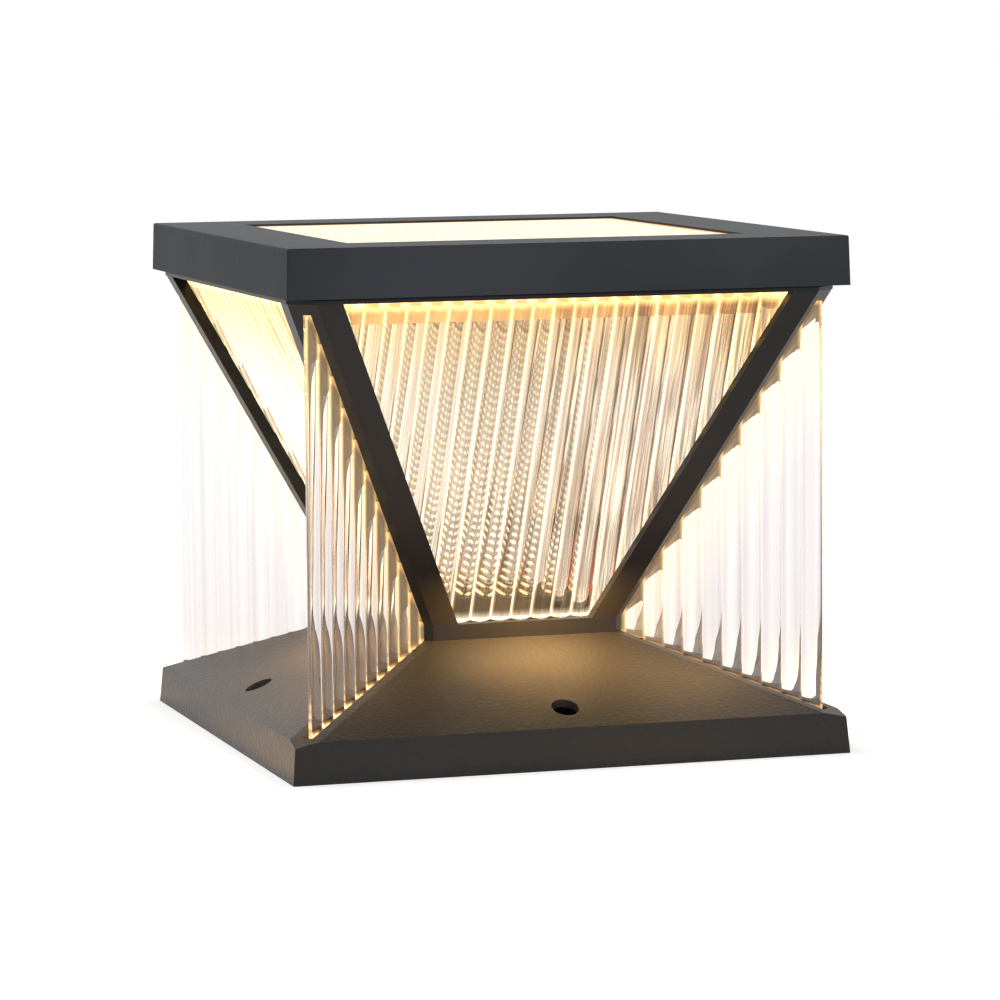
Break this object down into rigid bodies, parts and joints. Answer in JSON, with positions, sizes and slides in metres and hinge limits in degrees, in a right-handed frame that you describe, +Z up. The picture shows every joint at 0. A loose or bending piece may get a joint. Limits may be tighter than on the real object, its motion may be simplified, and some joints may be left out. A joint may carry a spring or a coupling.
{
  "type": "deck post cap light",
  "caption": "Square lantern for the top of a post: hipped cast base, inverted pyramid of fluted clear panels with corner fins, and a flat cap with a lit window.",
  "frame": {"origin": "centre of the base's underside", "axes": "+Z up along the lantern's axis, front face towards -Y"},
  "size_m": [0.25, 0.25, 0.2248],
  "materials": {
    "cast_base": "fine leather-textured powder coat, dark grey",
    "cast_frame": "satin powder coat, dark grey",
    "cast_cap": "fine-textured powder coat, dark grey",
    "rubber_seal": "matt",
    "lit_window": "opal, fine raised pattern, lit from inside",
    "patterned_clear": "clear, bubble-patterned",
    "polished_metal": "satin",
    "white_reflector": "white reflector paint",
    "light_board": "white solder mask",
    "light_source": "lit, warm white",
    "steel_screw": "satin",
    "sheet_cover": "matt powder coat",
    "white_plastic": "moulded, matt",
    "cream_plastic": "moulded, matt",
    "lead_sleeve": "smooth",
    "black_plastic": "moulded, matt",
    "clear_fin": "clear, ribbed on both faces",
    "clear_panel": "clear, fluted on the outer face"
  },
  "bodies": {
    "root": {"base_plate": "cast_base", "foot_collar": "cast_frame", "edge_bar_front_right": "cast_frame", "edge_bar_back_right": "cast_frame", "edge_bar_back_left": "cast_frame", "edge_bar_front_left": "cast_frame", "side_panel_front": "clear_panel", "side_panel_right": "clear_panel", "side_panel_back": "clear_panel", "side_panel_left": "clear_panel", "reflector_front": "white_reflector", "reflector_right": "white_reflector", "reflector_back": "white_reflector", "reflector_left": "white_reflector", "corner_fin_front_right": "clear_fin", "corner_fin_back_right": "clear_fin", "corner_fin_back_left": "clear_fin", "corner_fin_front_left": "clear_fin", "top_ring": "cast_frame", "top_gasket": "rubber_seal", "cap_frame": "cast_cap", "cap_screws": "steel_screw", "diffuser_seal": "rubber_seal", "top_diffuser": "lit_window", "led_strip_front": "light_board", "led_strip_right": "light_board", "led_strip_back": "light_board", "led_strip_left": "light_board", "strip_leds": "light_source", "bar_screws": "steel_screw", "foot_plate": "polished_metal", "foot_led_board": "light_board", "foot_leds": "light_source", "column_seat": "cast_frame", "inner_column": "patterned_clear", "column_lid": "patterned_clear", "lamp_leads": "lead_sleeve", "bottom_cover": "sheet_cover", "cover_gasket": "rubber_seal", "cover_screws": "steel_screw", "led_driver": "white_plastic", "driver_screws": "steel_screw", "terminal_block": "cream_plastic", "link_leads": "lead_sleeve", "gland_body": "black_plastic", "gland_seal": "rubber_seal", "gland_cap": "black_plastic", "gland_nut": "black_plastic"}
  },
  "joints": []
}
